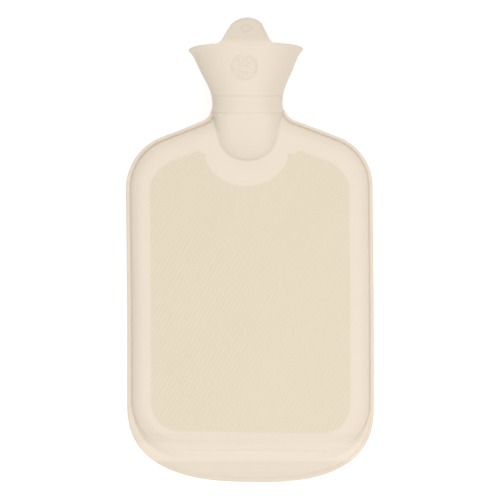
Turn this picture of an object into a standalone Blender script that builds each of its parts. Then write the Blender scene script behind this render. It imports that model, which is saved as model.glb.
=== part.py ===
"""Rubber hot water bottle with its screw stopper, lying on its back.

Metres, +Z up. The origin is the centre of the bottle's footprint, on the surface it lies on.
+Y runs along the bottle towards the funnel and its hanging tab, and the panelled front faces +Z.
"""
import math

import bmesh
import bpy

MM = 0.001

# Overall sizes
OVERALL_LENGTH = 374.6 * MM
BODY_HALF_WIDTH = 99.3 * MM
BODY_HALF_HEIGHT = 12.0 * MM     # from the seam to the flat back, and to the edge of the front panel
FRONT_CROWN = 2.0 * MM           # the front panel swells this much more along its middle
GAP = 0.3 * MM                   # air between pieces that touch in the real bottle

# Outline of the seam
BOTTOM_DEPTH = 54.2 * MM         # height of the round bottom
BOTTOM_SQUARENESS = 2.3          # exponent of its superellipse, 2 is an ellipse
SHOULDER_RADIUS = 46 * MM
SHOULDER_Y = 47.8 * MM           # the straight side ends here
SHOULDER_SLOPE = math.radians(22.2)
NECK_FILLET = 12 * MM
NECK_SIDE_X = 29.2 * MM
SEAM_TOP_Y = 112 * MM            # the seam's bead fades into the neck here
BOTTOM_SKEW = 0.0115             # the bottom was trimmed a little askew, lower on the right
SKEW_START_Y = -60 * MM
SKEW_RUN = 80 * MM
SIDE_STATIONS = (-70, -35, 0, 28)   # mm along the straight side

# Outline of the water space, whose wall stands inside the seam
FOOT_INSET = 4.2 * MM            # outer edge to the foot of the wall
FOOT_BOTTOM_Y = -162 * MM        # below it the two skins are one flap
FOOT_CORNER = 45 * MM
PARTING_Y = -96 * MM             # below it the two outlines part
BOTTOM_FLAP = 14 * MM            # where the flap is this wide, the wall has the bottom's section
BOTTOM_STEPS = 14                # points round the bottom, from its middle to PARTING_Y
FIRST_RUNG = 8                   # the panel is one flat face below this point of them

# Neck, funnel and stopper share one axis, parallel to Y
AXIS_X = -1.6 * MM
AXIS_Z = 24 * MM
LIFT_START_Y = 5 * MM            # from here the body rises up to the neck
SPACE_TOP_Y = 97 * MM            # the water space ends here, under the insert
SECTION_POINTS = 40

# Threaded insert, washer and stopper, along the axis from the insert's top at SEAT_Y
SEAT_Y = 122 * MM
THREAD_PITCH = 4 * MM
THREAD_SEGMENTS = 24
THREAD_ROOT = 10.2 * MM
THREAD_DEPTH = 1.7 * MM
THREAD_FLANK = 0.85 * MM         # height of one sloping side of the thread
THREAD_CREST = 1.2 * MM
THREAD_CLEARANCE = 0.4 * MM
TAP_WIDENING = 0.6 * MM          # how much wider the insert's groove is than the stopper's crest
FERRULE_LENGTH = 22 * MM
FERRULE_RADIUS = 15 * MM
BARB_RADIUS = 17 * MM            # ring that locks the insert in the rubber
BARB_TOP = -10 * MM
BARB_LENGTH = 5 * MM
WASHER_INNER_RADIUS = 12.6 * MM
WASHER_RADIUS = 14.6 * MM
WASHER_THICKNESS = 2 * MM
SHANK_LENGTH = 18 * MM
HEAD_RADIUS = 15 * MM
HEAD_EDGE = 0.8 * MM
FLANGE_THICKNESS = 4 * MM
GRIP_HEIGHT = 17 * MM
GRIP_THICKNESS = 8 * MM
GRIP_HALF_WIDTH = 12.5 * MM
GRIP_CORNER = 6 * MM

# Wall section of the body, edge to panel: measured from, inset, height off the seam at the sides and shoulders,
# and at the bottom, where the wall falls more gently (mm)
SKIN_SECTION = [
    ("edge", 0.0, 0.0, 0.0),
    ("edge", 0.7, 2.0, 2.0),
    ("edge", 2.6, 2.2, 2.2),
    ("edge", 3.4, 1.4, 1.4),
    ("foot", 0.0, 1.9, 5.8),
    ("foot", 1.0, 5.2, 6.6),
    ("foot", 3.6, 8.6, 8.3),
    ("foot", 8.5, 11.2, 11.2),
    ("foot", 15.8, 12.0, 12.0),
]
SPACE_SECTION = [
    ("foot", 2.6, 0.0, 0.0),
    ("foot", 3.0, 3.2, 3.2),
    ("foot", 5.4, 6.4, 6.4),
    ("foot", 9.6, 8.7, 8.7),
    ("foot", 16.0, 9.5, 9.5),
]

# Sideways drift of the body's centre line, hand finished: height along the bottle (mm), drift (mm)
BODY_DRIFT = [(-48, 0.5), (48, -0.5), (96, 0.2), (112, -1.6)]
NECK_DRIFT = [(124, -1.6), (158, -2.8), (187, -2.3)]

# Outside of the tongue, neck and funnel: y, half width, back z, front z, squareness (mm)
NECK_ROWS = [
    (105.0, 28.6, 4.0, 43.2, 3.2),
    (112.0, 29.4, 4.0, 44.0, 2.6),
    (117.0, 28.1, 4.4, 43.6, 2.4),
    (124.3, 29.0, 4.0, 44.0, 2.4),
    (128.0, 29.8, 3.6, 44.4, 2.4),
    (143.0, 36.8, 2.1, 45.9, 2.4),
    (158.0, 43.7, 0.7, 47.3, 2.4),
    (160.4, 45.6, 0.1, 47.9, 2.4),
    (162.8, 46.0, 0.0, 48.0, 2.4),
    (164.2, 45.2, 0.6, 47.4, 2.4),
]
LIP_ROW = NECK_ROWS[-2]
MOUTH_TILT = [(150, 0.0), (160, 1.0)]   # the back of the lip stands this much past its middle (mm)

# The tongue runs on down from the neck and ends in a half superellipse
TONGUE_Y = 105 * MM
TONGUE_LENGTH = 33.8 * MM
TONGUE_HALF_WIDTH = 28.6 * MM
TONGUE_ROUNDNESS = 2.1
TONGUE_TURNS = (81, 68, 52, 34, 15)     # degrees round that end, from the tip
TONGUE_FRONT = [(71, 35.9), (80, 38.2), (88, 40.0), (97, 41.8), (105, 43.2)]
TONGUE_BACK = [(71, 6.2), (80, 5.4), (88, 4.8), (105, 4.0)]
TONGUE_SQUARENESS = [(90, 3.8), (105, 3.2)]

# Inside of the throat, under the insert, and of the funnel, above it: y, half width, half depth, middle z (mm)
THROAT_ROWS = [
    (84.0, 12.0, 9.0, 22.0),
    (94.0, 12.5, 12.5, 24.0),
    (100.5, 12.5, 12.5, 24.0),
]
FUNNEL_ROWS = [
    (121.8, 17.6, 16.9, 24.0),
    (130.0, 24.0, 17.4, 24.0),
    (158.0, 41.2, 20.3, 24.0),
    (164.0, 43.2, 20.8, 24.0),
    (172.0, 46.0, 21.0, 24.0),
]

# Hanging tab, which carries on the front of the funnel
TAB_RADIUS = 17.3 * MM
TAB_FLARE = 28                          # degrees from upright
TAB_ROWS = (172, 167, 161)              # mm along the bottle, the last inside the lip
TAB_THICKNESS = 2.4 * MM
TAB_FRONT_Z = 47.6 * MM
TAB_COLUMNS = 8


def smoothstep(t):
    t = max(0.0, min(1.0, t))
    return t * t * (3 - 2 * t)


def read(rows, y):
    """Straight-line reading, in metres, of a table of (y, value) rows in millimetres."""
    y = y / MM
    if y <= rows[0][0]:
        return rows[0][1] * MM
    for (y0, v0), (y1, v1) in zip(rows, rows[1:]):
        if y <= y1:
            return (v0 + (v1 - v0) * (y - y0) / (y1 - y0)) * MM
    return rows[-1][1] * MM


def arc(centre, radius, start, end, steps):
    """Points on an arc, with its angles in radians from +X."""
    turns = [start + (end - start) * step / steps for step in range(steps + 1)]
    return [(centre[0] + radius * math.cos(turn), centre[1] + radius * math.sin(turn)) for turn in turns]


def spaced(points, count):
    """The line through the points, read again at count equal steps."""
    lengths = [0.0]
    for start, end in zip(points, points[1:]):
        lengths.append(lengths[-1] + math.dist(start, end))
    result = [points[0]]
    for step in range(1, count):
        want = lengths[-1] * step / count
        place = next(k for k, length in enumerate(lengths) if length >= want)
        share = (want - lengths[place - 1]) / (lengths[place] - lengths[place - 1])
        (x0, y0), (x1, y1) = points[place - 1], points[place]
        result.append((x0 + (x1 - x0) * share, y0 + (y1 - y0) * share))
    return result + [points[-1]]


def inward_normals(points):
    """Unit normals that point into the body, level at the neck and upright at the bottom's middle."""
    normals = [(0.0, 1.0)]
    for before, after in zip(points, points[2:]):
        length = math.dist(before, after)
        normals.append(((before[1] - after[1]) / length, (after[0] - before[0]) / length))
    return normals + [(-1.0, 0.0)]


def half_outlines():
    """Right half of the seam's edge and of the wall's foot, from the bottom's middle up to the neck."""
    side = BODY_HALF_WIDTH
    bottom_y = -OVERALL_LENGTH / 2
    bottom = []
    for step in range(61):
        turn = math.pi / 2 * step / 60
        x = side * math.sin(turn) ** (2 / BOTTOM_SQUARENESS)
        rise = 1 - max(0.0, math.cos(turn)) ** (2 / BOTTOM_SQUARENESS)
        bottom.append((x, bottom_y + BOTTOM_DEPTH * rise))
    edge = spaced(bottom + [(side, PARTING_Y)], BOTTOM_STEPS)

    foot_side = side - FOOT_INSET
    corner_centre = (foot_side - FOOT_CORNER, FOOT_BOTTOM_Y + FOOT_CORNER)
    corner = arc(corner_centre, FOOT_CORNER, -math.pi / 2, 0, 30)
    foot = spaced([(0.0, FOOT_BOTTOM_Y)] + corner + [(foot_side, PARTING_Y)], BOTTOM_STEPS)
    parted = len(edge)

    edge += [(side, y * MM) for y in SIDE_STATIONS]
    turned = math.pi / 2 - SHOULDER_SLOPE
    edge += arc((side - SHOULDER_RADIUS, SHOULDER_Y), SHOULDER_RADIUS, 0, turned, 7)
    x, y = edge[-1]
    slope = math.tan(SHOULDER_SLOPE)
    fillet_x = NECK_SIDE_X + NECK_FILLET
    fillet_y = y + (x - NECK_SIDE_X) * slope + NECK_FILLET * math.tan(turned / 2)
    slope_end = fillet_x - NECK_FILLET * math.cos(turned)
    for step in (1, 2):
        run = (x - slope_end) * step / 3
        edge.append((x - run, y + run * slope))
    seam_end = math.asin((fillet_y - SEAM_TOP_Y) / NECK_FILLET)
    edge += arc((fillet_x, fillet_y), NECK_FILLET, math.pi + turned, math.pi + seam_end, 5)

    normals = inward_normals(edge)
    for (x, y), (nx, ny) in list(zip(edge, normals))[parted:]:
        foot.append((x + nx * FOOT_INSET, y + ny * FOOT_INSET))
    return {"edge": (edge, normals), "foot": (foot, inward_normals(foot))}


def settle(x, y, z):
    """Moves a point of the straight, level body to its place on the real one."""
    skew = BOTTOM_SKEW * x * smoothstep((SKEW_START_Y - y) / SKEW_RUN)
    lift = (AXIS_Z - BODY_HALF_HEIGHT) * smoothstep((y - LIFT_START_Y) / (SEAM_TOP_Y - LIFT_START_Y))
    return x + read(BODY_DRIFT, y), y - skew, z + BODY_HALF_HEIGHT + lift


def half_skin(mesh, section, crown, face, edge_row):
    """One face of the body: rings in from the edge, then rungs across the panel from side to side.

    Returns its outermost ring and its open end.
    """
    outlines = half_outlines()
    count = len(outlines["edge"][0])
    flaps = [math.dist(edge, foot) - FOOT_INSET for edge, foot in zip(outlines["edge"][0], outlines["foot"][0])]
    around = [(k, -1) for k in range(count - 1, 0, -1)] + [(k, 1) for k in range(count)]
    rings = [edge_row] if edge_row else []
    for start, inset, side_height, bottom_height in section[len(rings):]:
        points, normals = outlines[start]
        ring = []
        for k, side in around:
            x = side * (points[k][0] + normals[k][0] * inset * MM)
            y = points[k][1] + normals[k][1] * inset * MM
            height = side_height + (bottom_height - side_height) * smoothstep(flaps[k] / BOTTOM_FLAP)
            ring.append(mesh.verts.new(settle(x, y, face * height * MM)))
        rings.append(ring)
    for outer, inner in zip(rings, rings[1:]):
        for k in range(len(around) - 1):
            mesh.faces.new((outer[k], outer[k + 1], inner[k + 1], inner[k]))

    inner, middle = rings[-1], count - 1
    rungs = []
    for k in range(FIRST_RUNG, count):
        left, right = inner[middle - k], inner[middle + k]
        rung = [left]
        for share in (0.25, 0.5, 0.75):
            point = left.co.lerp(right.co, share)
            point.z += face * crown * math.sin(math.pi * share) * smoothstep((k - FIRST_RUNG) / 6)
            rung.append(mesh.verts.new(point))
        rungs.append(rung + [right])
    for low, high in zip(rungs, rungs[1:]):
        for k in range(len(high) - 1):
            mesh.faces.new((low[k], low[k + 1], high[k + 1], high[k]))
    mesh.faces.new(inner[middle - FIRST_RUNG:middle + FIRST_RUNG + 1] + rungs[0][1:-1][::-1])
    left_end = [ring[0] for ring in rings]
    right_end = [ring[-1] for ring in rings]
    return rings[0], left_end + rungs[-1][1:-1] + right_end[::-1]


def body_solid(name, section, front_crown, end_y=None):
    """The body's closed form for one wall section, ending in a flat face inside the neck."""
    mesh = bmesh.new()
    edge_row, front_end = half_skin(mesh, section, front_crown, 1, None)
    _, back_end = half_skin(mesh, section, 0.0, -1, edge_row)
    mesh.faces.new(front_end + back_end[1:-1][::-1])
    if end_y is not None:
        everything = mesh.verts[:] + mesh.edges[:] + mesh.faces[:]
        bmesh.ops.bisect_plane(mesh, geom=everything, plane_co=(0, end_y, 0), plane_no=(0, 1, 0), clear_outer=True)
        bmesh.ops.holes_fill(mesh, edges=[edge for edge in mesh.edges if edge.is_boundary])
    return finish(name, mesh)


def section_ring(mesh, y, x, half_width, half_depth, z, squareness, tilt=0.0):
    """A superellipse across Y, leaning back by tilt."""
    ring = []
    for k in range(SECTION_POINTS):
        turn = 2 * math.pi * k / SECTION_POINTS
        across, up = math.cos(turn), math.sin(turn)
        across = math.copysign(abs(across) ** (2 / squareness), across)
        up = math.copysign(abs(up) ** (2 / squareness), up)
        ring.append(mesh.verts.new((x + half_width * across, y - tilt * up, z + half_depth * up)))
    return ring


def loft(name, mesh, rings):
    """Joins rings of equal count into a closed tube with flat ends."""
    for low, high in zip(rings, rings[1:]):
        for k in range(len(low)):
            after = (k + 1) % len(low)
            mesh.faces.new((low[k], low[after], high[after], high[k]))
    mesh.faces.new(rings[0])
    mesh.faces.new(rings[-1])
    return finish(name, mesh)


def neck_solid():
    """Outside of the tongue, neck and funnel in one run."""
    mesh = bmesh.new()
    rings = []
    for turn in TONGUE_TURNS:
        along = math.sin(math.radians(turn)) ** (2 / TONGUE_ROUNDNESS)
        across = math.cos(math.radians(turn)) ** (2 / TONGUE_ROUNDNESS)
        y = TONGUE_Y - TONGUE_LENGTH * along
        back, front = read(TONGUE_BACK, y), read(TONGUE_FRONT, y)
        squareness = read(TONGUE_SQUARENESS, y) / MM
        rings.append(section_ring(mesh, y, AXIS_X, TONGUE_HALF_WIDTH * across, (front - back) / 2,
                                  (front + back) / 2, squareness))
    for y, half_width, back, front, squareness in NECK_ROWS:
        rings.append(section_ring(mesh, y * MM, read(NECK_DRIFT, y * MM), half_width * MM, (front - back) / 2 * MM,
                                  (front + back) / 2 * MM, squareness, read(MOUTH_TILT, y * MM)))
    return loft("neck_outside", mesh, rings)


def hollow(name, rows, squareness):
    """A cutter with its rows of sections down the neck's axis."""
    mesh = bmesh.new()
    rings = []
    for y, half_width, half_depth, z in rows:
        rings.append(section_ring(mesh, y * MM, read(NECK_DRIFT, y * MM), half_width * MM, half_depth * MM, z * MM,
                                  squareness))
    return loft(name, mesh, rings)


def tab_solid():
    """Hanging tab: a rounded plate that follows the lip's curve at its root."""
    top_centre = OVERALL_LENGTH / 2 - TAB_RADIUS
    rows = [(TAB_RADIUS * math.cos(math.radians(turn)), top_centre + TAB_RADIUS * math.sin(math.radians(turn)))
            for turn in (86, 74, 62, 50, 39, TAB_FLARE)]
    half_width, y = rows[-1]
    for row in TAB_ROWS:
        rows.append((half_width + (y - row * MM) * math.tan(math.radians(TAB_FLARE)), row * MM))
    _, lip_width, lip_back, lip_front, squareness = LIP_ROW
    lip_depth = (lip_front - lip_back) / 2 * MM
    mesh = bmesh.new()
    grid = []
    for half_width, y in rows:
        line = []
        for k in range(TAB_COLUMNS + 1):
            x = half_width * (2 * k / TAB_COLUMNS - 1)
            curl = lip_depth * (1 - (1 - abs(x / (lip_width * MM)) ** squareness) ** (1 / squareness))
            line.append(mesh.verts.new((x + read(NECK_DRIFT, y), y, TAB_FRONT_Z - TAB_THICKNESS - curl)))
        grid.append(line)
    for high, low in zip(grid, grid[1:]):
        for k in range(TAB_COLUMNS):
            mesh.faces.new((high[k], high[k + 1], low[k + 1], low[k]))
    sheet = bmesh.ops.extrude_face_region(mesh, geom=mesh.faces[:])
    raised = [item for item in sheet["geom"] if isinstance(item, bmesh.types.BMVert)]
    bmesh.ops.translate(mesh, verts=raised, vec=(0, 0, TAB_THICKNESS))
    return finish("tab_plate", mesh)


def turned(name, profile):
    """A ring or disc turned about local Z from a closed loop of (radius, z) in metres."""
    mesh = bmesh.new()
    verts = [mesh.verts.new((radius, 0, z)) for radius, z in profile]
    loop = [mesh.edges.new((a, b)) for a, b in zip(verts, verts[1:])]
    if profile[0][0] > 0:
        loop.append(mesh.edges.new((verts[-1], verts[0])))
    bmesh.ops.spin(mesh, geom=verts + loop, axis=(0, 0, 1), cent=(0, 0, 0), angle=2 * math.pi,
                   steps=2 * THREAD_SEGMENTS, use_merge=True)
    bmesh.ops.remove_doubles(mesh, verts=mesh.verts[:], dist=0.01 * MM)
    return finish(name, mesh)


def thread_rod(name, root, widening, bottom, top):
    """A threaded rod about local Z. widening is how much more of the pitch its crests take."""
    crest = THREAD_CREST + widening
    valley = THREAD_PITCH - crest - 2 * THREAD_FLANK
    steps = ((0.0, root), (valley, root), (valley + THREAD_FLANK, root + THREAD_DEPTH),
             (valley + THREAD_FLANK + crest, root + THREAD_DEPTH))
    mesh = bmesh.new()
    verts = []
    first = math.floor(bottom / THREAD_PITCH) - 2
    for turn in range(first, math.ceil(top / THREAD_PITCH) + 2):
        # the crests of every rod stand at the same height, whatever their width
        start = turn * THREAD_PITCH + (crest + 2 * THREAD_FLANK) / 2
        for rise, radius in steps:
            verts.append(mesh.verts.new((radius, 0, start + rise)))
    line = [mesh.edges.new((a, b)) for a, b in zip(verts, verts[1:])]
    bmesh.ops.spin(mesh, geom=verts + line, axis=(0, 0, 1), cent=(0, 0, 0), angle=2 * math.pi,
                   steps=THREAD_SEGMENTS, dvec=(0, 0, THREAD_PITCH / THREAD_SEGMENTS), use_merge=False)
    bmesh.ops.remove_doubles(mesh, verts=mesh.verts[:], dist=0.01 * MM)
    for height, direction in ((bottom, -1), (top, 1)):
        everything = mesh.verts[:] + mesh.edges[:] + mesh.faces[:]
        bmesh.ops.bisect_plane(mesh, geom=everything, plane_co=(0, 0, height), plane_no=(0, 0, direction),
                               clear_outer=True)
    bmesh.ops.holes_fill(mesh, edges=[edge for edge in mesh.edges if edge.is_boundary])
    return finish(name, mesh)


def grip_solid(name, bottom, top):
    """The stopper's flat grip, with round top corners."""
    low = GRIP_HALF_WIDTH
    corner_x, corner_z = low - GRIP_CORNER, top - GRIP_CORNER
    right = arc((corner_x, corner_z), GRIP_CORNER, 0, math.pi / 2, 6)
    left = arc((-corner_x, corner_z), GRIP_CORNER, math.pi / 2, math.pi, 6)
    mesh = bmesh.new()
    points = [(low, bottom)] + right + left + [(-low, bottom)]
    verts = [mesh.verts.new((x, -GRIP_THICKNESS / 2, z)) for x, z in points]
    face = mesh.faces.new(verts)
    sheet = bmesh.ops.extrude_face_region(mesh, geom=[face])
    pushed = [item for item in sheet["geom"] if isinstance(item, bmesh.types.BMVert)]
    bmesh.ops.translate(mesh, verts=pushed, vec=(0, GRIP_THICKNESS, 0))
    return finish(name, mesh)


def finish(name, mesh, sharp_angle=40):
    """Makes a bmesh an object, with its faces outward and shaded smooth between sharp edges."""
    bmesh.ops.recalc_face_normals(mesh, faces=mesh.faces[:])
    data = bpy.data.meshes.new(name)
    mesh.to_mesh(data)
    mesh.free()
    data.shade_smooth()
    data.set_sharp_from_angle(angle=math.radians(sharp_angle))
    piece = bpy.data.objects.new(name, data)
    bpy.context.collection.objects.link(piece)
    return piece


def combine(piece, other, operation):
    """Joins other to the piece, or cuts it away, and keeps other as a hidden guide."""
    other.hide_render = True
    other.display_type = "WIRE"
    step = piece.modifiers.new(other.name, "BOOLEAN")
    step.operation = operation
    step.solver = "EXACT"
    step.object = other


def place_on_axis(piece):
    """Turns a piece made about local Z onto the neck's axis, its z = 0 at the insert's top."""
    piece.location = (AXIS_X, SEAT_Y, AXIS_Z)
    piece.rotation_euler = (-math.pi / 2, 0, 0)


def surface(piece, name, colour, roughness, metallic=0.0):
    material = bpy.data.materials.new(name)
    material.use_nodes = True
    shader = material.node_tree.nodes["Principled BSDF"]
    shader.inputs["Base Color"].default_value = (*colour, 1)
    shader.inputs["Roughness"].default_value = roughness
    shader.inputs["Metallic"].default_value = metallic
    piece.data.materials.append(material)


def make_bottle():
    """The one rubber moulding: body, flap, neck, funnel and tab, hollow and open at the funnel."""
    bottle = body_solid("rubber_bottle", SKIN_SECTION, FRONT_CROWN)
    combine(bottle, neck_solid(), "UNION")
    combine(bottle, body_solid("water_space", SPACE_SECTION, FRONT_CROWN, SPACE_TOP_Y), "DIFFERENCE")
    combine(bottle, hollow("throat_space", THROAT_ROWS, 2.0), "DIFFERENCE")
    socket_radius, barb_radius = FERRULE_RADIUS + GAP, BARB_RADIUS + GAP
    bottom = -FERRULE_LENGTH - GAP
    socket = turned("insert_socket", [
        (0, bottom),
        (socket_radius, bottom),
        (socket_radius, BARB_TOP - BARB_LENGTH - GAP),
        (barb_radius, BARB_TOP - BARB_LENGTH - GAP),
        (barb_radius, BARB_TOP + GAP),
        (socket_radius, BARB_TOP + GAP),
        (socket_radius, 2 * GAP),
        (0, 2 * GAP),
    ])
    place_on_axis(socket)
    combine(bottle, socket, "DIFFERENCE")
    combine(bottle, hollow("funnel_space", FUNNEL_ROWS, 2.4), "DIFFERENCE")
    combine(bottle, tab_solid(), "UNION")
    surface(bottle, "natural rubber", (0.80, 0.72, 0.57), 0.6)


def make_ferrule():
    """Threaded insert, locked in the rubber by its ring."""
    ferrule = turned("neck_ferrule", [
        (THREAD_ROOT - THREAD_DEPTH, -FERRULE_LENGTH),
        (FERRULE_RADIUS, -FERRULE_LENGTH),
        (FERRULE_RADIUS, BARB_TOP - BARB_LENGTH),
        (BARB_RADIUS, BARB_TOP - BARB_LENGTH),
        (BARB_RADIUS, BARB_TOP),
        (FERRULE_RADIUS, BARB_TOP),
        (FERRULE_RADIUS, 0),
        (THREAD_ROOT - THREAD_DEPTH, 0),
    ])
    past_end = THREAD_PITCH / 2
    tap = thread_rod("thread_tap", THREAD_ROOT + THREAD_CLEARANCE, TAP_WIDENING, -FERRULE_LENGTH - past_end,
                     past_end)
    combine(ferrule, tap, "DIFFERENCE")
    place_on_axis(tap)
    place_on_axis(ferrule)
    surface(ferrule, "insert polymer", (0.75, 0.73, 0.68), 0.45)


def make_washer():
    """Sealing ring between the stopper's head and the insert."""
    washer = turned("stopper_washer", [
        (WASHER_INNER_RADIUS, GAP),
        (WASHER_RADIUS, GAP),
        (WASHER_RADIUS, GAP + WASHER_THICKNESS),
        (WASHER_INNER_RADIUS, GAP + WASHER_THICKNESS),
    ])
    place_on_axis(washer)
    surface(washer, "washer rubber", (0.42, 0.20, 0.13), 0.6)


def make_stopper():
    """Screw stopper: threaded shank, flange and grip in one piece."""
    flange_bottom = WASHER_THICKNESS + 2 * GAP
    flange_top = flange_bottom + FLANGE_THICKNESS
    stopper = turned("stopper", [
        (0, flange_bottom),
        (HEAD_RADIUS - HEAD_EDGE, flange_bottom),
        (HEAD_RADIUS, flange_bottom + HEAD_EDGE),
        (HEAD_RADIUS, flange_top - HEAD_EDGE),
        (HEAD_RADIUS - HEAD_EDGE, flange_top),
        (0, flange_top),
    ])
    middle = (flange_bottom + flange_top) / 2
    shank = thread_rod("stopper_shank", THREAD_ROOT, 0.0, flange_bottom - SHANK_LENGTH, middle)
    grip = grip_solid("stopper_grip", middle, flange_top + GRIP_HEIGHT)
    for guide in (shank, grip):
        combine(stopper, guide, "UNION")
        place_on_axis(guide)
    place_on_axis(stopper)
    surface(stopper, "stopper polymer", (0.78, 0.70, 0.55), 0.4)


for old in list(bpy.data.objects):
    bpy.data.objects.remove(old)
make_bottle()
make_ferrule()
make_washer()
make_stopper()
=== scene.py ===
# Rubber hot water bottle with its screw stopper, lying on its back on a white table.
# Sizes are in millimetres until a piece is finished, and +Y runs towards the funnel.
import math

import bmesh
import bpy
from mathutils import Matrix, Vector
from mathutils.bvhtree import BVHTree


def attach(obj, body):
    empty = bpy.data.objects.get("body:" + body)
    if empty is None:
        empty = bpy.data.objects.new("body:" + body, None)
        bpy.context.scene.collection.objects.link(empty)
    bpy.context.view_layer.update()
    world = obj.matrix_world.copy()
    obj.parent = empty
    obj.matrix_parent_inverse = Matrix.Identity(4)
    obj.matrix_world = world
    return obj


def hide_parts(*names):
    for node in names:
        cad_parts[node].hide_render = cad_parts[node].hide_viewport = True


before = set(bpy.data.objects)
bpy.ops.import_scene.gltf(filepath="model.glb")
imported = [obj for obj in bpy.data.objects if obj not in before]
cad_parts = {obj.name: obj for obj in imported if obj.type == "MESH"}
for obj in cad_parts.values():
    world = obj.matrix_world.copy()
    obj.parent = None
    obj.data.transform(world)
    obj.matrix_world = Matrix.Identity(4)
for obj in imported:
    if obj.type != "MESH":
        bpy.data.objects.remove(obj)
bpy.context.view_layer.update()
metre = 0.001
print("frame loaded:", ", ".join(sorted(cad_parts)))


# ---- shared helpers

def smoothStep(t):
    t = max(0.0, min(1.0, t))
    return t * t * (3 - 2 * t)


def mix(a, b, share):
    return a + (b - a) * share


def readRow(rows, y):
    # straight-line reading of a table whose first column is y
    if y <= rows[0][0]:
        return rows[0][1:]
    for low, high in zip(rows, rows[1:]):
        if y <= high[0]:
            share = (y - low[0]) / (high[0] - low[0])
            return tuple(mix(a, b, share) for a, b in zip(low[1:], high[1:]))
    return rows[-1][1:]


def readSmooth(rows, y):
    # the same with a smooth line through the rows, level with its neighbours where it turns
    y = max(rows[0][0], min(rows[-1][0], y))
    k = next(k for k in range(len(rows) - 1) if y <= rows[k + 1][0])
    y0, y1 = rows[k][0], rows[k + 1][0]
    t = (y - y0) / (y1 - y0)
    result = []
    for column in range(1, len(rows[0])):
        def slope(i):
            if i == 0 or i == len(rows) - 1:
                j = min(i, len(rows) - 2)
                return (rows[j + 1][column] - rows[j][column]) / (rows[j + 1][0] - rows[j][0])
            before = (rows[i][column] - rows[i - 1][column]) / (rows[i][0] - rows[i - 1][0])
            after = (rows[i + 1][column] - rows[i][column]) / (rows[i + 1][0] - rows[i][0])
            return 0.0 if before * after <= 0 else 2 * before * after / (before + after)
        v0, v1 = rows[k][column], rows[k + 1][column]
        m0, m1 = slope(k) * (y1 - y0), slope(k + 1) * (y1 - y0)
        result.append(v0 * (1 + 2 * t) * (1 - t) ** 2 + m0 * t * (1 - t) ** 2
                      + v1 * t * t * (3 - 2 * t) + m1 * t * t * (t - 1))
    return tuple(result)


def arcPoints(centre, radius, start, end, steps):
    turns = [mix(start, end, step / steps) for step in range(steps + 1)]
    return [(centre[0] + radius * math.cos(turn), centre[1] + radius * math.sin(turn)) for turn in turns]


def spaced(points, count):
    # the line through the points, read again at equal steps
    lengths = [0.0]
    for start, end in zip(points, points[1:]):
        lengths.append(lengths[-1] + math.dist(start, end))
    result, place = [points[0]], 1
    for step in range(1, count):
        want = lengths[-1] * step / count
        while lengths[place] < want:
            place += 1
        share = (want - lengths[place - 1]) / (lengths[place] - lengths[place - 1])
        result.append((mix(points[place - 1][0], points[place][0], share),
                       mix(points[place - 1][1], points[place][1], share)))
    return result + [points[-1]]


def startChain(mesh, places, closed=False):
    verts = [mesh.verts.new(place) for place in places]
    for a, b in zip(verts, verts[1:]):
        mesh.edges.new((a, b))
    if closed:
        mesh.edges.new((verts[-1], verts[0]))
    return verts


def extrudeTo(mesh, chain, places, closed=False):
    # extrudes a chain of edges once and puts its new points at the places
    pairs = list(zip(chain, chain[1:])) + ([(chain[-1], chain[0])] if closed else [])
    made = set(bmesh.ops.extrude_edge_only(mesh, edges=[mesh.edges.get(pair) for pair in pairs])["geom"])
    fresh = []
    for vert in chain:
        ends = [edge.other_vert(vert) for edge in vert.link_edges]
        fresh.append(next(end for end in ends if end in made))
    for vert, place in zip(fresh, places):
        vert.co = place
    return fresh


def cutAcross(mesh, faces, direction, positions):
    # cuts the faces with parallel planes, leaving behind what each plane has passed
    direction = Vector(direction)
    left = list(faces)
    done = []
    for position in positions:
        near, rest = [], []
        for face in left:
            reach = [vert.co.dot(direction) for vert in face.verts]
            if max(reach) <= position + 1e-6:
                done.append(face)
            elif min(reach) >= position - 1e-6:
                rest.append(face)
            else:
                near.append(face)
        if near:
            edges = {edge for face in near for edge in face.edges}
            verts = {vert for face in near for vert in face.verts}
            made = bmesh.ops.bisect_plane(mesh, geom=near + list(edges) + list(verts), dist=1e-5,
                                          plane_co=direction * position, plane_no=direction)["geom"]
            near = [item for item in made if isinstance(item, bmesh.types.BMFace)]
        left = rest + near
    return done + left


def closeHoles(mesh):
    bmesh.ops.holes_fill(mesh, edges=[edge for edge in mesh.edges if edge.is_boundary])


def roundRim(mesh, rim, offset, segments):
    bmesh.ops.bevel(mesh, geom=rim, offset=offset, offset_type="OFFSET", affect="EDGES", segments=segments,
                    profile=0.5, material=-1, clamp_overlap=True)


def makeObject(name, mesh):
    data = bpy.data.meshes.new(name)
    mesh.to_mesh(data)
    mesh.free()
    made = bpy.data.objects.new(name, data)
    bpy.context.collection.objects.link(made)
    return made


joinForm = {
    "tries": 6,
    "nudge": 0.004,              # how much further the other shape is moved at each try
    "leastShare": 0.05,          # share of the other shape that a join has to add or a cut to take away
    # a join may also add this share of the first shape, and a cut take this share more of the other: it is wide
    # because the tab's join adds about four times the tab's own volume, which is unexplained
    "slack": 0.05,
}


def volumeOf(data):
    mesh = bmesh.new()
    mesh.from_mesh(data)
    volume = mesh.calc_volume(signed=True)
    mesh.free()
    return volume


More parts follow.
